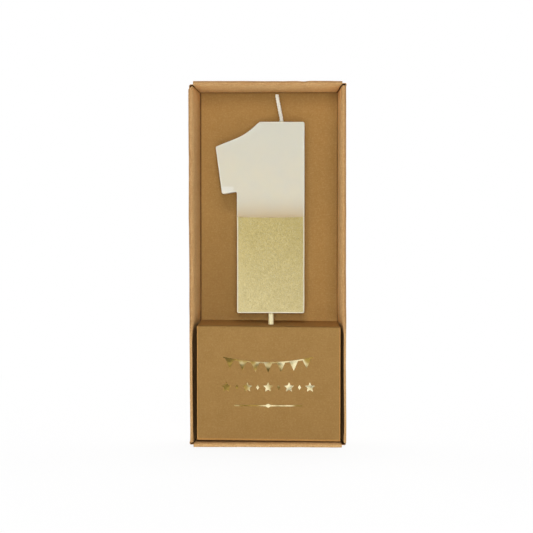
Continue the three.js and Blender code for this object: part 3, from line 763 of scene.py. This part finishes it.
def add_tray_back():
    """The back of the tray, its outer edges rounded where the walls fold up."""
    x, notch_x = HALF_WIDTH, HALF_WIDTH - RIM_WIDTH
    top, notch_z = TRAY_HEIGHT, TRAY_HEIGHT - NOTCH
    outline = [
        (-notch_x, 0), (notch_x, 0), (notch_x, NOTCH), (x, NOTCH), (x, notch_z), (notch_x, notch_z),
        (notch_x, top), (-notch_x, top), (-notch_x, notch_z), (-x, notch_z), (-x, NOTCH), (-notch_x, NOTCH),
    ]
    shape = bmesh.new()
    front, back = [
        [shape.verts.new((px * MM, y * MM, pz * MM)) for px, pz in outline] for y in (BOARD_Y, BACK_Y)]
    shape.faces.new(front)
    shape.faces.new(back[::-1])
    folds = []
    for i in range(len(outline)):
        k = (i + 1) % len(outline)
        shape.faces.new([front[i], back[i], back[k], front[k]])
        edge = shape.edges.get([back[i], back[k]])
        if edge.calc_length() > 10 * MM:
            folds.append(edge)
    bmesh.ops.bevel(shape, geom=folds, offset=0.38 * MM, segments=5, profile=0.5, affect="EDGES")
    bmesh.ops.recalc_face_normals(shape, faces=shape.faces)
    mesh = bpy.data.meshes.new("tray_back_board")
    shape.to_mesh(mesh)
    shape.free()
    mesh.materials.append(TRAY_FACE)
    mesh.materials.append(TRAY_PAINTED_SHADE)
    # The face inside the tray, mostly behind the insert, gets the painted shade
    for face in mesh.polygons:
        if face.normal.y < -0.9:
            face.material_index = 1
    mesh.shade_smooth()
    mesh.set_sharp_from_angle(angle=math.radians(40))
    piece = new_object("tray_back_board", mesh)
    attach(piece, "tray")
    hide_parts("tray_back_panel")


# The insert: one folded card, drawn from the side as (y, z)


def plinth_share(y):
    """0 at the plinth's front and 1 at its back."""
    return (y - INSERT_FRONT_Y) / (CARD_BACK_Y - CARD - INSERT_FRONT_Y)


def shelf_z(y):
    return SHELF_BACK_Z - SHELF_DROP * (1 - plinth_share(y))


def foot_z(y):
    return FOOT_BACK_Z - FOOT_DROP * (1 - plinth_share(y))


def card_ends(p):
    """The card is a little narrower at its back than at its front."""
    share = (p.x - INSERT_FRONT_Y) / (CARD_BACK_Y - INSERT_FRONT_Y)
    half = FRONT_HALF_WIDTH + (BACK_HALF_WIDTH - FRONT_HALF_WIDTH) * share
    centre = INSERT_X + 0.2 * (1 - share)
    return centre - half, centre + half


def card_ripple(p, along):
    """A faint hollow here and there in the front."""
    front = max(0.0, 1 - (p.x - INSERT_FRONT_Y) / 2)
    dent = max(0.0, smooth_noise(along / 19, p.y / 19, 3.3))
    return Vector((0.05 * front * dent, 0))


def card_place(p, along):
    """The plinth leans a little to its right, and the back panel doesn't."""
    if p.x > CARD_BACK_Y - CARD - GLUE_LINE / 2:
        share = 0.0
    elif p.y < SHELF_BACK_Z / 2:
        share = min(1.0, max(0.0, 1 - plinth_share(p.x)))
    else:
        share = 1 - smooth_step(SHELF_BACK_Z + 0.5, SHELF_BACK_Z + 9, p.y)
    return along, p.x, p.y - PLINTH_TILT * share * (along - INSERT_X)


def card_marks(points):
    """Marks that paint a highlight along the front's edges, light and shade on the back panel, and light on
    the shelf.
    """
    left, right = card_ends(Vector((INSERT_FRONT_Y, 0)))
    foot = foot_z(INSERT_FRONT_Y)
    back_right = INSERT_X + BACK_HALF_WIDTH
    marks = []
    for x, y, z in points:
        # A painted highlight along the front's left, right and bottom edges, the rest of the front a touch
        # darker
        if y < INSERT_FRONT_Y + 1:
            above_foot = z + PLINTH_TILT * (x - INSERT_X) - foot - CREASE_RADIUS * 0.6
            inward = min(x - left, right - x, above_foot)
            mark = 1 - 1.08 * smooth_step(EDGE_LINE - 0.05, EDGE_LINE + 0.1, inward)
        elif z > SHELF_BACK_Z + 1:
            # The back panel is darker at its lower left, along its right edge and under the top wall, all
            # painted shadow, and elsewhere has a little painted light
            mark = 0.07 - 0.34 * smooth_step(8, -14, x) * smooth_step(112, 66, z)
            mark -= 0.42 * smooth_step(back_right - 6, back_right, x)
            mark -= 0.36 * smooth_step(143.0, 146.5, z)
        # Painted light on the shelf, more towards its front
        elif z > SHELF_BACK_Z / 2:
            mark = 0.3 + 0.4 * smooth_step(0.9, 0.3, plinth_share(y))
        else:
            mark = 0.0
        marks.append(mark)
    return marks


def add_insert():
    flap_y = CARD_BACK_Y - CARD - GLUE_LINE
    foot = foot_z(INSERT_FRONT_Y)
    path = rounded_path([
        (flap_y, FLAP_FOOT_Z, 0, 0),
        (flap_y, shelf_z(flap_y), BACK_CREASE_RADIUS, 5),
        (INSERT_FRONT_Y, shelf_z(INSERT_FRONT_Y), CREASE_RADIUS, 8),
        (INSERT_FRONT_Y, foot + CREASE_RADIUS + 0.35, 0, 0),
        (INSERT_FRONT_Y, foot, CREASE_RADIUS, 8),
        (CARD_BACK_Y, foot_z(CARD_BACK_Y), BACK_CREASE_RADIUS, 5),
        (CARD_BACK_Y, INSERT_TOP_Z, 0, 0),
    ])
    points, faces, materials = folded_sheet(
        thickened(divided(path, 2.2), CARD, CARD_BEVEL), card_ends, card_place, 2.0, CARD_BEVEL, card_ripple,
        margins=(EDGE_LINE, EDGE_LINE + 0.15))
    card = add_piece(
        "folded_card", points, faces, [CARD_FACE, CARD_EDGE], "insert",
        ["insert_back_panel", "insert_foot_panel", "insert_front_panel", "insert_shelf_panel",
         "insert_glue_flap"], materials, 50, card_marks(points))

    # The hole for the pick, whose wall is cut edge
    pick_x = (STEM_LEFT + STEM_RIGHT) / 2
    bore = bmesh.new()
    bmesh.ops.create_cone(
        bore, cap_ends=True, segments=40, radius1=HOLE_RADIUS * MM, radius2=HOLE_RADIUS * MM, depth=6 * MM,
        matrix=Matrix.Translation(Vector((pick_x, CANDLE_MID_Y, shelf_z(CANDLE_MID_Y))) * MM))
    mesh = bpy.data.meshes.new("bore")
    bore.to_mesh(mesh)
    bore.free()
    mesh.materials.append(CARD_FACE)
    mesh.materials.append(CARD_EDGE)
    mesh.polygons.foreach_set("material_index", [1] * len(mesh.polygons))
    apply_boolean(card, new_object("bore", mesh), "DIFFERENCE")


# The candle, drawn from the front as (x, height) from the foot of its stem


def numeral_ring(inset):
    """The numeral's outline moved inwards, with as many points at every inset."""
    count = len(NUMERAL)
    spots = [Vector(corner[:2]) for corner in NUMERAL]
    moved = []
    for i, (_, _, radius, steps) in enumerate(NUMERAL):
        before, here, after = (spots[k % count] for k in (i - 1, i, i + 1))
        into, out = (here - before).normalized(), (after - here).normalized()
        turn = into.x * out.y - into.y * out.x
        along = inset * math.tan(math.asin(max(-1, min(1, turn))) / 2)
        spot = here + Vector((-into.y, into.x)) * inset - into * along
        moved.append((spot, max(radius - inset, 0.05) if turn > 0 else radius + inset, steps))
    groups = []
    for i, (spot, radius, steps) in enumerate(moved):
        groups.append(fillet(moved[i - 1][0], spot, moved[(i + 1) % count][0], radius, steps))
    ring = []
    for i, group in enumerate(groups):
        ring += group
        a, b = group[-1], groups[(i + 1) % count][0]
        parts = max(1, round((spots[(i + 1) % count] - spots[i]).length / OUTLINE_PITCH))
        ring += [a.lerp(b, k / parts) for k in range(1, parts)]
    return ring


def edge_rings(inset):
    """(inset, y) of the rings over the rounded front and back edges, front to back."""
    half = CANDLE_HALF_DEPTH - inset
    rounding = []
    for i in range(EDGE_STEPS + 1):
        angle = math.pi / 2 * i / EDGE_STEPS
        rounding.append((inset + EDGE_INSET * (1 - math.sin(angle)), EDGE_DEPTH * (1 - math.cos(angle))))
    rounding.insert(0, (rounding[0][0] + RIM_BAND, 0.0))
    front = [(d, CANDLE_MID_Y - half + y) for d, y in rounding]
    middle = [(inset, CANDLE_MID_Y + y) for y in (-1.0, 1.5)]
    back = [(d, CANDLE_MID_Y + half - y) for d, y in reversed(rounding)]
    return front + middle + back


def wavy(points):
    """The slight unevenness of moulded wax."""
    return [p + 0.05 * noise.noise_vector(p / 9) + 0.015 * noise.noise_vector(p / 9 * 5) for p in points]


def is_inside(q, ring):
    """Whether q lies in the ring."""
    odd = False
    for a, b in zip(ring, ring[1:] + ring[:1]):
        if (a.y > q.y) != (b.y > q.y) and q.x < (b.x - a.x) * (q.y - a.y) / (b.y - a.y) + a.x:
            odd = not odd
    return odd


def filled(ring):
    """Interior points and triangles that fill a flat ring."""
    low_x, high_x = min(p.x for p in ring), max(p.x for p in ring)
    low_y, high_y = min(p.y for p in ring), max(p.y for p in ring)
    inside = []
    rows = int((high_y - low_y) / FILL_PITCH)
    for r in range(1, rows):
        y = low_y + (high_y - low_y) * r / rows
        shift = FILL_PITCH / 2 * (r % 2)
        for c in range(1, int((high_x - low_x) / FILL_PITCH) + 1):
            q = Vector((low_x + c * FILL_PITCH - shift, y))
            if is_inside(q, ring) and min((q - p).length for p in ring) > FILL_PITCH * 0.6:
                inside.append(q)
    count = len(ring)
    edges = [(i, (i + 1) % count) for i in range(count)]
    found = delaunay_2d_cdt(ring + inside, edges, [], 1, 1e-5)
    number = [origin[0] for origin in found[3]]
    return inside, [[number[v] for v in triangle] for triangle in found[2]]


def candle_point(p, y):
    """Where a point of the front view lies at the depth y."""
    return Vector((STEM_LEFT + p.x, y, CANDLE_FOOT_Z + p.y))


def candle_skin(rings, stack, closed):
    """Points, faces and marks of a skin over rings one behind another, at the depths in stack.

    The first and last ring lie in the candle's two faces, and the points of the others are marked 1, which
    paints a highlight on them.
    """
    count, last = len(rings[0]), len(stack) - 1
    points = [candle_point(p, y) for ring, (_, y) in zip(rings, stack) for p in ring]
    faces = []
    for k in range(last):
        for i in range(count if closed else count - 1):
            j = (i + 1) % count
            faces.append([k * count + i, (k + 1) * count + i, (k + 1) * count + j, k * count + j])
    marks = [0.0 if k in (0, last) else 1.0 for k in range(len(stack)) for _ in range(count)]
    return points, faces, marks


def fill_face(points, faces, first, count, added, triangles, y):
    """Fills the face at y with triangles of the ring of count points from first on, and of added points."""
    offset = len(points) - count
    points += [candle_point(p, y) for p in added]
    for triangle in triangles:
        faces.append([(first if v < count else offset) + v for v in triangle])


def add_wax():
    stack = edge_rings(0.04)
    rings = [numeral_ring(inset) for inset, _ in stack]
    points, faces, marks = candle_skin(rings, stack, closed=True)
    count = len(rings[0])
    inside, triangles = filled(rings[0])
    for k in (0, len(stack) - 1):
        fill_face(points, faces, k * count, count, inside, triangles, stack[k][1])
    wax = add_piece("wax_numeral", wavy(points), faces, [WAX], "candle", ["candle_wax_body"], marks=marks)

    # Wax drawn up round the wick's foot
    profile = [(0.0, -COLLAR_ROOT), (COLLAR_RADIUS, -COLLAR_ROOT), (COLLAR_RADIUS, -0.02)]
    for i in range(1, 9):
        angle = math.pi / 2 * i / 8
        profile.append(
            (COLLAR_RADIUS - COLLAR_SLOPE * math.sin(angle), COLLAR_HEIGHT * (1 - math.cos(angle)) ** 0.9))
    profile.append((0.0, COLLAR_HEIGHT * 1.02))
    points, faces = turned(profile, 40, WICK_X, CANDLE_MID_Y, CANDLE_TOP_Z - 0.03)
    collar = new_object("collar", new_mesh("collar", wavy(points), faces, [WAX]))
    apply_boolean(wax, collar, "UNION")


def dip_line(x, y):
    """Height of the lacquer's upper edge, which sags in the middle."""
    across = 2 * (x - (STEM_LEFT + STEM_RIGHT) / 2) / STEM_WIDTH
    return DIP_Z - 0.3 * (1 - across * across) + 0.05 * smooth_noise(x / 3.1, y / 3.1, 4.4) - CANDLE_FOOT_Z


def add_dip():
    """The lacquer: the stem's outer surface below the dip line, given a thickness."""
    side_parts, foot_parts, beyond = 26, 20, 60
    stack = edge_rings(0.0)
    rings = []
    for inset, y in stack:
        left, right = inset, STEM_WIDTH - inset
        foot_left, foot_right = Vector((left, inset)), Vector((right, inset))
        radius = max(CORNER_RADIUS - inset, 0.05)
        turn_in = fillet(Vector((left, beyond)), foot_left, foot_right, radius, 6)
        turn_out = fillet(foot_left, foot_right, Vector((right, beyond)), radius, 6)
        start = Vector((left, dip_line(STEM_LEFT + inset, y)))
        stop = Vector((right, dip_line(STEM_RIGHT - inset, y)))
        path = [start.lerp(turn_in[0], k / side_parts) for k in range(side_parts)] + turn_in
        path += [turn_in[-1].lerp(turn_out[0], k / foot_parts) for k in range(1, foot_parts)] + turn_out
        path += [turn_out[-1].lerp(stop, k / side_parts) for k in range(1, side_parts + 1)]
        rings.append(path)
    points, faces, marks = candle_skin(rings, stack, closed=False)
    count = len(rings[0])
    for k in (0, len(stack) - 1):
        ring, y = rings[k], stack[k][1]
        top = []
        for i in range(1, foot_parts):
            x = ring[-1].x + (ring[0].x - ring[-1].x) * i / foot_parts
            top.append(Vector((x, dip_line(STEM_LEFT + x, y))))
        inside, triangles = filled(ring + top)
        fill_face(points, faces, k * count, count, top + inside, triangles, y)
    coat = add_piece(
        "lacquer_dip", wavy(points), faces, [GLITTER], "candle", ["candle_metallic_dip"],
        marks=marks)
    shell = coat.modifiers.new("coat", "SOLIDIFY")
    shell.thickness = LACQUER * MM
    shell.offset = -1
    shell.use_even_offset = True
    apply_modifiers(coat)
    coat.data.set_sharp_from_angle(angle=math.radians(55))


def wick_centre(z):
    """The wick stands upright in the wax and its collar, and leans over above them."""
    lean_from = CANDLE_TOP_Z + COLLAR_HEIGHT + 0.4
    share = max(z - lean_from, 0) / (WICK_TOP_Z - lean_from)
    bend = min(1.0, share * 6)
    drop = WICK_TOP_X - WICK_X
    return Vector((WICK_X + drop * share * (0.6 + 0.4 * bend), CANDLE_MID_Y, z))


def add_wick():
    """Three plies twisted together, stiff with wax."""
    plies, sides, pitch, step = 3, 12, 3.4, 0.22
    ply_radius, turn_radius = 0.45, 0.35
    top = WICK_TOP_Z - 0.12
    count = int((top - WICK_FOOT_Z) / step)
    points, faces = [], []
    for ply in range(plies):
        first = len(points)
        for k in range(count + 1):
            z = WICK_FOOT_Z + (top - WICK_FOOT_Z) * k / count
            angle = 2 * math.pi * (z / pitch + ply / plies)
            wobble = 0.03 * smooth_noise(z / 2.2, ply, 7.7)
            radial = Vector((math.cos(angle), math.sin(angle), 0))
            centre = wick_centre(z) + radial * (turn_radius + wobble)
            tangent = Vector((-math.sin(angle), math.cos(angle), 0)) * (2 * math.pi * turn_radius / pitch)
            tangent = (tangent + Vector((0, 0, 1))).normalized()
            side = tangent.cross(radial).normalized()
            size = ply_radius * (1 + 0.06 * smooth_noise(z / 0.9, ply * 3.0, 1.5))
            if k == count:
                size *= 0.72
            for s in range(sides):
                around = 2 * math.pi * s / sides
                strand = 1 + 0.05 * math.cos(4 * (around + 2 * angle))
                points.append(centre + (radial * math.cos(around) + side * math.sin(around)) * size * strand)
        for k in range(count):
            a, b = first + k * sides, first + (k + 1) * sides
            for s in range(sides):
                t = (s + 1) % sides
                faces.append([a + s, a + t, b + t, b + s])
        faces.append([first + s for s in range(sides)][::-1])
        faces.append([first + count * sides + s for s in range(sides)])
    add_piece("twisted_wick", points, faces, [COTTON], "candle", ["candle_wick"])


def add_pick():
    """A round pin with a blunt point and a slightly rounded head."""
    low, high = node_box("candle_pick")
    radius = (high.x - low.x) / 2
    height = high.z - low.z
    point_end, rounding = 3.2, 0.06
    profile = [(0.0, 0.0), (0.3, 0.02), (0.42, 0.12), (0.8, 1.6)]
    profile += [(radius - rounding, 2.75), (radius, point_end)]
    profile += [(radius, point_end + (height - 3.4) * k / 12) for k in range(1, 13)]
    profile += [(radius - rounding, height - rounding), (0.0, height)]
    points, faces = turned(profile, 48, (low.x + high.x) / 2, CANDLE_MID_Y, low.z)
    add_piece("gilt_pick", points, faces, [GILT], "candle", ["candle_pick"], sharp=60)


add_tray_back()
add_walls()
add_corner_flaps()
add_insert()
add_wax()
add_dip()
add_wick()
add_pick()

# CAD nodes that keep their own shape
for name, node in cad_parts.items():
    if name.startswith("foil_"):
        node.data.materials.clear()
        node.data.materials.append(FOIL)

# The camera, at the photograph's distance and angle, aimed a little beside the carton's middle
VIEW_DISTANCE = 650
AZIMUTH = math.radians(1.5)
ELEVATION = math.radians(2.0)
FOCAL_PIXELS = 1585.4
FRAME_PIXELS = 533
SENSOR = 36
MIDDLE_Z = 75.35
AIM_RIGHT = -0.45
AIM_UP = -0.83


def point(thing, spot, heading):
    """Puts a camera or lamp at a spot in metres, looking along heading."""
    thing.location = spot
    thing.rotation_mode = "QUATERNION"
    thing.rotation_quaternion = heading.to_track_quat("-Z", "Y")


away = Vector((
    math.sin(AZIMUTH) * math.cos(ELEVATION), -math.cos(AZIMUTH) * math.cos(ELEVATION), math.sin(ELEVATION)))
middle = Vector((0, RIM_Y, MIDDLE_Z))
eye = middle + away * VIEW_DISTANCE
right = Vector((math.cos(AZIMUTH), math.sin(AZIMUTH), 0))
up = right.cross(-away)
aim = middle + right * AIM_RIGHT + up * AIM_UP
camera_data = bpy.data.cameras.new("camera")
camera_data.sensor_width = SENSOR
camera_data.lens = SENSOR * FOCAL_PIXELS / FRAME_PIXELS
camera_data.clip_start = 0.01
camera_data.clip_end = 50
camera = new_object("camera", camera_data)
point(camera, eye * MM, aim - eye)
bpy.context.scene.camera = camera

# The studio, in metres

FLOOR_HALF_WIDTH = 3.0
# Distances from the part between which the floor that is seen passes from shaded to plain white
FLOOR_FADE = (0.08, 0.3)
AMBIENT = 0.03
# The darker end of the studio, where the camera stands, as gloss and metal see it
DIM_HEADING = Vector((0, -1, 0.12)).normalized()
DIM_EDGES = (0.7, 0.95)
DIM_LEVEL = 0.3

# Square soft lamps that face the middle of the carton: name, place, size and watts
LAMPS = [
    ("front", (0.02, -0.8, 0.13), 0.14, 1.82),
    ("front_right", (0.35, -0.75, 0.25), 0.4, 0.1),
    ("front_left", (-0.65, -0.55, 0.2), 0.4, 0.6),
    ("front_upper", (0.03, -0.8, 0.45), 0.2, 1.9),
    ("front_low", (0.0, -0.6, 0.03), 0.15, 1.35),
    ("side_right", (0.9, 0.2, 0.3), 0.5, 1.0),
    ("side_left", (-0.9, 0.2, 0.3), 0.5, 1.0),
    ("back_right", (0.8, 0.5, 0.25), 0.5, 4.0),
    ("back_left", (-0.8, 0.5, 0.25), 0.5, 4.0),
    ("behind", (0.1, 1.0, 0.35), 0.6, 4.0),
    ("above", (0.0, 0.15, 1.0), 0.5, 4.0),
]


def seen_as_background(g):
    """1 for rays that look at the background or reflect it, and 0 for the light it gives."""
    rays = g.add("LightPath").outputs
    share = g.math("MAXIMUM", rays["Is Camera Ray"], rays["Is Glossy Ray"])
    return g.math("MAXIMUM", share, rays["Is Transmission Ray"])


def add_floor():
    """A white floor, seen as white but for a soft shadow round the part."""
    g = Graph("white_floor")
    shade = g.add("BsdfDiffuse", {"Color": (0.65, 0.65, 0.65, 1)})
    faint = g.add("BsdfDiffuse", {"Color": (0.1, 0.1, 0.1, 1)})
    glow = g.add("Emission", {"Color": WHITE, "Strength": 0.9})
    near = g.add("AddShader", {0: faint.outputs[0], 1: glow.outputs[0]})
    plain = g.add("Emission", {"Color": WHITE, "Strength": 1.0})
    reach = g.vector("LENGTH", {0: g.add("TexCoord").outputs["Object"]}, "Value")
    fade = g.ramp(reach, *FLOOR_FADE)
    bright = g.add("MixShader", {0: fade, 1: near.outputs[0], 2: plain.outputs[0]})
    both = g.add("MixShader", {0: seen_as_background(g), 1: shade.outputs[0], 2: bright.outputs[0]})
    mesh = bpy.data.meshes.new("floor")
    size = FLOOR_HALF_WIDTH
    corners = [(-size, -size, 0), (size, -size, 0), (size, size, 0), (-size, size, 0)]
    mesh.from_pydata(corners, [], [(0, 1, 2, 3)])
    mesh.materials.append(g.finish(both))
    new_object("floor", mesh)


def add_world():
    """A white background that gives little light and looks dimmer to gloss at the camera's end."""
    g = Graph("studio", "worlds")
    ambient = g.add("Background", {"Color": WHITE, "Strength": AMBIENT})
    heading = g.vector("DOT_PRODUCT", {0: g.add("TexCoord").outputs["Generated"], 1: DIM_HEADING}, "Value")
    dim = g.ramp(heading, *DIM_EDGES, 1.0, DIM_LEVEL)
    seen = g.mix(g.add("LightPath").outputs["Is Glossy Ray"], WHITE, dim)
    white = g.add("Background", {"Color": seen, "Strength": 1.0})
    both = g.add("MixShader", {0: seen_as_background(g), 1: ambient.outputs[0], 2: white.outputs[0]})
    bpy.context.scene.world = g.finish(both, "OutputWorld")


def add_lamp(name, place, size, power):
    data = bpy.data.lights.new(name, "AREA")
    data.size = size
    data.energy = power
    lamp = new_object(name, data)
    point(lamp, place, Vector((0, 0, TRAY_HEIGHT / 2 * MM)) - Vector(place))
    lamp.visible_camera = False
    lamp.visible_glossy = False


add_floor()
add_world()
for lamp in LAMPS:
    add_lamp(*lamp)

bpy.context.scene.view_settings.view_transform = "Standard"
